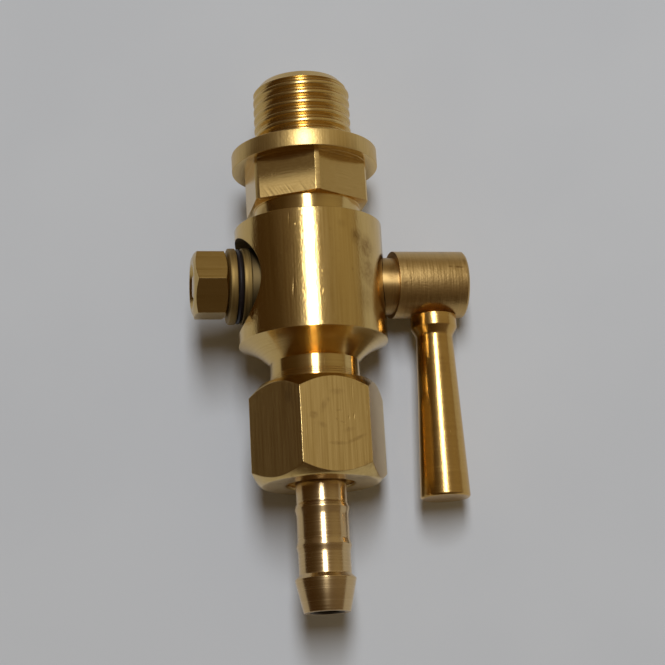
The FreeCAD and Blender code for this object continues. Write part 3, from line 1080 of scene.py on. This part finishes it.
@dataclass
class TapBody:
    """The tap's body, turned from bar, with its hexagon, cross bore, fuel way and inlet thread."""

    flange_radius: float = 9.85
    flange_foot: float = -2.35
    undercut: float = 6.39
    land_radius: float = 8.55
    hexagon_across: float = 15.1
    hexagon_foot: float = -7.95
    hexagon_turn: float = 1.5
    waist_radius: float = 7.1
    barrel_radius: float = 9.857
    barrel_top: float = -10.8
    barrel_foot: float = -26.7
    bell_curve: float = 11.0
    bell_foot: float = -29.4
    neck_radius: float = 5.9
    neck_rings: Corner = (-31.15, -31.42, -31.7)
    ring_depth: float = 0.04
    ring_reach: float = 0.06
    spigot_foot: float = -39.5
    inlet_top: float = 10.0
    inlet_bore: float = 3.2
    fuel_bore: float = 2.1
    cone_radius: float = 4.6
    taper_wide: float = 3.88
    taper_narrow: float = 2.985
    seat_radius: float = 5.1
    seat_face: float = -8.4
    recess_radius: float = 6.4
    recess_floor: float = -7.3
    thread: ThreadForm = ThreadForm(crest=6.58, pitch=1.337)

    def bar(self) -> Piece:
        """Turn the body's outside.

        Returns:
            The bar, without its flats, thread and bores.
        """
        neck, crest = self.neck_radius, self.thread.crest
        edge = (self.barrel_radius, self.barrel_foot)
        bell = cove(edge, (neck, self.bell_foot), self.bell_curve, 8)
        rings: Outline = []
        for height in self.neck_rings:
            top, foot = height + self.ring_reach, height - self.ring_reach
            rings += [(neck, top), (neck - self.ring_depth, height), (neck, foot)]
        outline = [
            (0, 2.2), (5.2, 2.2), (5.2, 2.1), (self.undercut, 1.0), (self.undercut, 0.22, 0.1),
            (self.undercut + 0.25, 0, 0.1), (self.flange_radius, 0, 0.16),
            (self.flange_radius, self.flange_foot, 0.14), (self.land_radius, self.flange_foot),
            (self.land_radius, self.hexagon_foot, 0.06),
            (self.waist_radius, self.hexagon_foot - 0.05, 0.12),
            (self.waist_radius, self.barrel_top, 0.15),
            (self.barrel_radius, self.barrel_top, 0.12), *bell, *rings,
            (neck, -32.3), (crest, -32.98), (crest, self.spigot_foot + 0.7),
            (crest - 0.7, self.spigot_foot), (0, self.spigot_foot),
        ]
        return turn("body_bar", outline, BODY_AXIS)

    def flats_cutter(self) -> Piece:
        """Make what the mill takes off round the hexagon.

        Returns:
            A ring with a hexagon hole.
        """
        low, high = self.hexagon_foot - 1.1, self.flange_foot - 0.03
        ring = rod("mill", 11, high, low, BODY_AXIS)
        across, degrees = self.hexagon_across, self.hexagon_turn
        core = hexagon_bar("core", across, low - 1, high + 1, BODY_AXIS, degrees)
        combine(ring, core, Join.CUT)
        return ring

    def inlet(self) -> Piece:
        """Make the inlet thread with its chamfered start.

        Returns:
            The threaded rod.
        """
        threaded = self.thread.cut_rod("inlet_thread", 1.0, self.inlet_top, BODY_AXIS)
        top = self.inlet_top - 0.01
        lead = [(0, top), (self.thread.crest - 1.1, top), (7.2, self.inlet_top - 2.05)]
        envelope = turn("lead", [*lead, (7.2, 0.5), (0, 0.5)], BODY_AXIS)
        combine(threaded, envelope, Join.KEEP)
        return threaded

    def fuel_way(self) -> Piece:
        """Make the drill for the inlet bore, the fuel way and the cone seat.

        Returns:
            The drill.
        """
        foot, mouth = self.spigot_foot, self.inlet_bore + 0.5
        outline = [
            (0, 11.5), (mouth, 11.5), (mouth, 10.2), (self.inlet_bore, 9.7),
            (self.inlet_bore, -12.0), (self.fuel_bore, -12.7), (self.fuel_bore, foot + 4.33),
            (self.cone_radius, foot), (self.cone_radius, foot - 1), (0, foot - 1),
        ]
        return turn("drill", outline, BODY_AXIS)

    def cross_bore(self) -> Piece:
        """Make the reamer for the taper bore, the seat and the recess about it."""
        outline = [
            (0, 11.2), (self.taper_wide, 11.2), (self.taper_wide, 9.5),
            (self.taper_narrow, self.seat_face),
            (self.seat_radius, self.seat_face, 0.05), (self.seat_radius, self.recess_floor, 0.1),
            (self.recess_radius, self.recess_floor, 0.1), (self.recess_radius, -11.2), (0, -11.2),
        ]
        return turn("reamer", outline, SPINDLE_AXIS)

    def build(self) -> None:
        """Build the body and dress it."""
        piece = self.bar()
        combine(piece, self.flats_cutter(), Join.CUT)
        combine(piece, self.inlet(), Join.ADD)
        combine(piece, self.fuel_way(), Join.CUT)
        combine(piece, self.cross_bore(), Join.CUT)
        finish = BodyFinish(
            name="body_bar_brass", colour=(0.76, 0.54, 0.21), deep=(0.63, 0.42, 0.14),
            centre=BODY_AXIS, roughness=0.17, mark_depth=1.1, streaks=0.2, stains=0.2,
            scratches=0.45, edge_radius=0.06, brushing=0.45, seed=1.0, marks=BODY_MARKS,
        )
        finish_piece(piece, finish.make(), "tap_body", "tap_body")


@dataclass
class Spindle:
    """The taper plug with its head, lever, washers, ring and nut."""

    stud_radius: float = 2.35
    stud_end: float = -15.75
    stud_flat: float = 1.9
    shoulder: float = -8.1
    taper_narrow: float = 2.97
    taper_wide: float = 3.85
    port_radius: float = 2.0
    socket_radius: float = 1.75
    head_radius: float = 4.51
    head_face: float = 11.0
    head_tilt: float = 4.4
    head_end: float = 20.82
    head_chamfer: float = 0.28
    collar_radius: float = 3.08
    shank_radius: float = 1.72
    washer_radius: float = 5.05
    washer_hole: float = 2.45
    washer_thickness: float = 1.0
    key_reach: float = 1.95
    inner_face: float = -9.43
    outer_face: float = -11.23
    ring_centre: float = 4.55
    ring_section: float = 0.4
    ring_corners: int = 28
    mould_line: float = 0.015
    nut_across: float = 8.23
    nut_end: float = -15.89
    nut_turn: float = 5.0

    def head(self) -> Piece:
        """Turn the plug's head and lean its inner face.

        Returns:
            The head.
        """
        radius, end, chamfer = self.head_radius, self.head_end, self.head_chamfer
        rim = [(radius, end - chamfer, 0.06), (radius - chamfer, end, 0.06)]
        head = turn("head", [(0, 10.0), (radius, 10.0), *rim, (0, end)], HEAD_AXIS)
        lean = math.tan(math.radians(self.head_tilt))
        slice_off(head, HEAD_AXIS.place(0, self.head_face), Vector((-1, -lean, 0)).normalized())
        return head

    def plug(self) -> None:
        """Turn the taper and its stud, add the head, and cut the port, flats and socket."""
        stud, end, wide = self.stud_radius, self.stud_end, self.taper_wide
        outline = [
            (0, end), (stud - 1.0, end, 0.1), (stud, end + 0.8), (stud, self.shoulder),
            (self.taper_narrow, self.shoulder), (wide, 9.5), (wide, 12.5), (0, 12.5),
        ]
        piece = turn("plug", outline, SPINDLE_AXIS)
        combine(piece, self.head(), Join.ADD)
        combine(piece, rod("socket", self.socket_radius, -16.2, -25, LEVER_AXIS), Join.CUT)
        combine(piece, rod("port", self.port_radius, -12, -25, BODY_AXIS), Join.CUT)
        for low, high in ((self.stud_flat, 4.0), (-4.0, -self.stud_flat)):
            near = (-16.5, -4, -SPINDLE_DROP + low)
            far = (self.shoulder, 4, -SPINDLE_DROP + high)
            combine(piece, block("flat", near, far), Join.CUT)
        finish = PlugFinish(
            name="plug_brass", colour=(0.66, 0.45, 0.18), deep=(0.48, 0.31, 0.11),
            centre=SPINDLE_AXIS, roughness=0.44, stains=0.35, brushing=0.75, seed=2.0,
            marks=PLUG_MARKS,
        )
        finish_piece(piece, finish.make(), "spindle", "taper_plug")

    def lever(self) -> None:
        """Turn the lever with its collar and waisted shank."""
        shank, collar = self.shank_radius, self.collar_radius
        outline = [
            (0, -16.53), (shank, -16.53), (shank, -23.03), (collar, -23.03, 0.08),
            (collar, -24.7, 0.08), (2.42, -25.75, 0.25), (3.28, -47.43, 0.12),
            (3.1, -47.63, 0.05), (0, -47.63),
        ]
        piece = turn("lever", outline, LEVER_AXIS)
        finish = BrassFinish(
            name="lever_brass", colour=(0.72, 0.47, 0.16), deep=(0.60, 0.36, 0.10),
            centre=LEVER_AXIS, roughness=0.235, mark_depth=0.4, streaks=0.2, stains=0.25,
            scratches=0.35, brushing=0.1, speckle=12.0, seed=3.0,
        )
        finish_piece(piece, finish.make(), "spindle", "lever_handle")

    def washer(self, name: str, hole: float, face: float, rounding: float) -> Piece:
        """Turn a washer.

        Args:
            name: Name of the new piece.
            hole: Radius of its hole, or 0 for a disc.
            face: Where its face on the nut's side lies.
            rounding: Rounding of its rim.

        Returns:
            The washer.
        """
        radius, back = self.washer_radius, face + self.washer_thickness
        outline = [(hole, face), (radius, face, rounding), (radius, back, rounding), (hole, back)]
        return turn(name, outline, SPINDLE_AXIS, ring=hole > 0)

    def washers(self) -> None:
        """Turn both washers, the inner one with its keyed hole."""
        # The washers' brass is about half as bright as the other pieces', painted shade for the dim
        # light they get between the nut and the body.
        finish = BrassFinish(
            name="washer_brass", colour=(0.36, 0.25, 0.09), deep=(0.26, 0.17, 0.055),
            centre=SPINDLE_AXIS, roughness=0.6, mark_depth=1.2, stains=0.3, scratches=0.3,
            brushing=0.0, seed=4.0,
        ).make()
        inner = self.washer("inner_washer", 0, self.inner_face, 0.1)
        key = rod("key", self.washer_hole, -10, -8, SPINDLE_AXIS)
        low, high = (-SPINDLE_DROP + side * self.key_reach for side in (-1, 1))
        slab = block("slab", (-11, -4, low), (-7, 4, high))
        combine(key, slab, Join.KEEP)
        combine(inner, key, Join.CUT)
        finish_piece(inner, finish, "spindle", "thrust_washer")
        outer = self.washer("outer_washer", self.washer_hole, self.outer_face, 0.2)
        finish_piece(outer, finish, "spindle", "plain_washer")

    def ring(self) -> None:
        """Turn the sealing ring with the fine line its mould leaves."""
        middle = self.inner_face - self.ring_section
        outline: Outline = []
        for step in range(self.ring_corners):
            angle = 2 * math.pi * step / self.ring_corners
            on_line = step == self.ring_corners // 4
            reach = self.ring_section + (self.mould_line if on_line else 0.0)
            radius = self.ring_centre + reach * math.sin(angle)
            outline.append((radius, middle + reach * math.cos(angle)))
        piece = turn("sealing_ring", outline, SPINDLE_AXIS, ring=True)
        finish_piece(piece, RubberFinish().make(), "spindle", "o_ring")

    def nut(self) -> None:
        """Make the small nut with both ends chamfered and its bore."""
        low, high = self.nut_end, self.outer_face
        piece = hexagon_bar("stud_nut", self.nut_across, low, high, NUT_AXIS, self.nut_turn)
        outline = [
            (0, -15.88), (3.55, -15.88, 0.12), (5.55, -14.98), (5.55, -12.14),
            (3.55, -11.24, 0.12), (0, -11.24),
        ]
        combine(piece, turn("nut_ends", outline, NUT_AXIS), Join.KEEP)
        outline = [
            (0, -17), (3.04, -17), (3.04, -15.88), (2.39, -15.24), (2.39, -11.6),
            (2.75, -11.24), (2.75, -10), (0, -10),
        ]
        combine(piece, turn("bore", outline, SPINDLE_AXIS), Join.CUT)
        finish = BrassFinish(
            name="stud_nut_brass", colour=(0.68, 0.48, 0.18), deep=(0.56, 0.38, 0.12),
            centre=SPINDLE_AXIS, lay=Lay.LINES, roughness=0.21, mark_depth=0.8, streaks=0.2,
            stains=0.15, scratches=0.3, seed=5.0,
        )
        finish_piece(piece, finish.make(), "spindle", "spindle_nut")

    def build(self) -> None:
        """Build every piece that turns with the lever."""
        self.plug()
        self.lever()
        self.washers()
        self.ring()
        self.nut()


@dataclass
class UnionNut:
    """The large hexagon nut that draws the hose tail up."""

    across: float = 15.88
    turned: float = -22.8
    top: float = -32.3
    foot: float = -45.5
    top_radius: float = 7.4
    foot_radius: float = 7.6
    thread_bore: float = 6.62
    tail_hole: float = 4.35
    shoulder: float = -43.35

    def build(self) -> None:
        """Build the nut and dress it."""
        top, foot, thread, hole = self.top, self.foot, self.thread_bore, self.tail_hole
        piece = hexagon_bar("union_hexagon", self.across, foot, top, BODY_AXIS, self.turned)
        outline = [
            (0, top - 0.01), (self.top_radius, top - 0.01, 0.25),
            (self.top_radius + 3, top - 3.224), (self.foot_radius + 2.8, foot + 2.68),
            (self.foot_radius, foot + 0.01, 0.25), (0, foot + 0.01),
        ]
        combine(piece, turn("union_ends", outline, BODY_AXIS), Join.KEEP)
        outline = [
            (0, top + 1), (thread + 0.5, top + 1), (thread + 0.5, top), (thread, top - 0.5),
            (thread, self.shoulder), (hole, self.shoulder), (hole, foot + 0.2),
            (hole + 0.25, foot), (hole + 0.25, foot - 1), (0, foot - 1),
        ]
        combine(piece, turn("union_bore", outline, BODY_AXIS), Join.CUT)
        finish = BrassFinish(
            name="union_brass", colour=(0.78, 0.56, 0.22), deep=(0.62, 0.42, 0.14),
            centre=BODY_AXIS, lay=Lay.LINES, roughness=0.22, mark_depth=1.0, streaks=0.15,
            # A full edge share for a stronger painted highlight on the nut's edges.
            stains=0.7, edge_share=1.0, edge_radius=0.16, scratches=0.35, seed=6.0,
            marks=UNION_MARKS,
        )
        finish_piece(piece, finish.make(), "union_nut", "union_nut")


@dataclass
class HoseTail:
    """The tail held by the union nut, with two ridges and the hose barb."""

    bore: float = 2.0
    collar: float = 5.95
    neck: float = 4.28
    stem: float = 3.325
    ridge: float = 3.57
    grip: float = 3.37
    barb: float = 3.95
    tip: float = 3.0
    end: float = -61.9

    def build(self) -> None:
        """Build the tail and dress it."""
        ridges: Outline = []
        for above, start in ((self.stem, -47.9), (self.grip, -52.7)):
            ridges += [(above, start, 0.15), (self.ridge, start - 0.75, 0.12)]
            ridges.append((self.grip, start - 1.6, 0.2))
        outline = [
            (self.bore, -36.83), (3.0, -36.83), (4.77, -39.9), (self.collar, -39.9),
            (self.collar, -43.3), (self.neck, -43.3), (self.neck, -44.7), (self.stem, -44.7),
            *ridges, (self.grip, -57.1, 0.1), (self.barb, -57.7, 0.06), (self.tip, self.end, 0.08),
            (self.bore + 0.25, self.end, 0.05), (self.bore, self.end + 0.25),
        ]
        piece = turn("barbed_tail", outline, BODY_AXIS, ring=True)
        finish = BrassFinish(
            name="tail_brass", colour=(0.74, 0.54, 0.28), deep=(0.62, 0.43, 0.20),
            centre=BODY_AXIS, roughness=0.24, mark_depth=1.6, mark_scale=4200.0, stains=0.08,
            # The bore is darkened with painted shade.
            scratches=0.2, painted_shade_bore=2.35, seed=7.0,
        )
        finish_piece(piece, finish.make(), "tail", "hose_tail")


def look_back(azimuth: float, elevation: float) -> Vector:
    """Give the direction from a target back to what looks at it.

    Args:
        azimuth: Angle about the tap in degrees, from its front.
        elevation: Angle above the horizon in degrees.

    Returns:
        The direction.
    """
    turned, raised = math.radians(azimuth), math.radians(elevation)
    level = math.cos(raised)
    return Vector((math.sin(turned) * level, -math.cos(turned) * level, math.sin(raised)))


@dataclass(frozen=True)
class PhotoCamera:
    """The viewpoint of the photograph, in degrees and millimetres."""

    azimuth: float = -10.62
    elevation: float = -15.07
    roll: float = -3.15
    distance: float = 226.5
    target: Corner = (2.624, 0.0, -25.077)
    lens: float = 92.47
    sensor: float = 36.0
    near_clip: float = 10.0

    def build(self) -> None:
        """Set the camera up."""
        back = look_back(self.azimuth, self.elevation)
        right = (-back).cross(Vector((0, 0, 1))).normalized()
        up = right.cross(-back)
        roll = math.radians(self.roll)
        rolled_right = right * math.cos(roll) + up * math.sin(roll)
        rolled_up = up * math.cos(roll) - right * math.sin(roll)
        clear_bench()
        bpy.ops.object.camera_add(location=(Vector(self.target) + back * self.distance) * MM)
        camera = call_new("photo_camera")
        camera.rotation_euler = Matrix((rolled_right, rolled_up, back)).transposed().to_euler()
        camera.data.lens = self.lens
        camera.data.sensor_width = self.sensor
        camera.data.clip_start = self.near_clip * MM
        camera.data.dof.use_dof = False
        bpy.context.scene.camera = camera


@dataclass(frozen=True)
class Lamp:
    """A soft square lamp, aimed at the tap, in degrees and metres."""

    name: str = "front_lamp"
    azimuth: float = -8.0
    elevation: float = 18.0
    distance: float = 1.0
    width: float = 0.22
    height: float = 0.6
    radiance: float = 13.2
    colour: Colour = (1.0, 1.03, 1.1)

    def build(self, target: Vector) -> None:
        """Set the lamp up.

        Args:
            target: What it is aimed at, in metres.
        """
        back = look_back(self.azimuth, self.elevation)
        clear_bench()
        bpy.ops.object.light_add(type="AREA", location=target + back * self.distance)
        lamp = call_new(self.name)
        lamp.data.shape = "RECTANGLE"
        lamp.data.size = self.width
        lamp.data.size_y = self.height
        lamp.data.energy = self.radiance * math.pi * self.width * self.height
        lamp.data.color = self.colour
        lamp.rotation_euler = back.to_track_quat("Z", "Y").to_euler()


@dataclass
class Studio:
    """The pale table behind the tap, the lamp and the dim room around them."""

    table_normal: Corner = (-0.2656, -0.9641, 0.0)
    table_offset: float = -9.9
    table_height: float = -25.0
    table_size: float = 4.0
    table_colours: tuple[Colour, Colour] = ((0.665, 0.69, 0.705), (0.69, 0.715, 0.727))
    bright_side: Corner = (0.6, -0.55, 0.58)
    room_colours: tuple[tuple[float, Colour], ...] = (
        (0.2, (0.05, 0.028, 0.012)),
        (0.47, (0.065, 0.042, 0.02)),
        (0.7, (0.15, 0.115, 0.085)),
        (0.88, (0.19, 0.145, 0.09)),
        (1.0, (0.35, 0.30, 0.2)),
    )

    def table_top(self) -> bpy.types.Material:
        """Make the table's finish, which is clear when seen from behind.

        Returns:
            The material.
        """
        graph = Graph(bpy.data.materials.new("table_top"))
        cloud = graph.grain(graph.place, 30.0, 3.0).span(0.3, 0.7)
        graph.dress(
            Base_Color=graph.tint(cloud, *self.table_colours),
            Normal=graph.relief(graph.grain(graph.place, 2500.0), 2.0),
            Roughness=0.7,
            Specular_IOR_Level=0.2,
        )
        behind = graph.add("ShaderNodeNewGeometry", output="Backfacing")
        front = Field(graph, graph.surface.outputs[0])
        clear = graph.add("ShaderNodeBsdfTransparent")
        both = graph.add("ShaderNodeMixShader", behind, front, clear)
        graph.feed(graph.tree.nodes["Material Output"].inputs["Surface"], both)
        return graph.owner

    def table(self) -> None:
        """Lay the table that the tap rests on."""
        normal = Vector(self.table_normal).normalized()
        clear_bench()
        bpy.ops.mesh.primitive_plane_add(
            size=self.table_size,
            location=(normal * self.table_offset + Vector((0, 0, self.table_height))) * MM,
            rotation=normal.to_track_quat("Z", "Y").to_euler(),
        )
        table = call_new("table")
        bpy.ops.object.transform_apply()
        table.data.materials.append(self.table_top())

    def room(self) -> None:
        """Fill the room with dim warm light that grows to the right and above."""
        graph = Graph(bpy.data.worlds.new("room"), "Background")
        way = graph.add("ShaderNodeTexCoord", output="Generated")
        bright = Vector(self.bright_side).normalized()
        level = graph.vectors("DOT_PRODUCT", way, bright, "Value")
        ramp = graph.add("ShaderNodeValToRGB", graph.add("ShaderNodeMapRange", level, -1.0))
        graph.dress(Color=ramp, Strength=1.0)
        stops = ramp.socket.node.color_ramp.elements
        for position, _ in self.room_colours[1:-1]:
            stops.new(position)
        for stop, (position, colour) in zip(stops, self.room_colours):
            stop.position = position
            stop.color = (*colour, 1.0)
        bpy.context.scene.world = graph.owner

    def build(self, target: Vector) -> None:
        """Set the whole studio up.

        Args:
            target: What the lamp is aimed at, in metres.
        """
        self.table()
        self.room()
        Lamp().build(target)


def main() -> None:
    """Build the tap, the studio and the camera."""
    logging.basicConfig(level=logging.INFO, format="%(name)s: %(message)s")
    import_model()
    camera = PhotoCamera()
    camera.build()
    TapBody().build()
    Spindle().build()
    UnionNut().build()
    HoseTail().build()
    Studio().build(Vector(camera.target) * MM)
    scene = bpy.context.scene
    scene.view_settings.view_transform = "Standard"
    log.info("the tap is built")


if __name__ == "__main__":
    main()
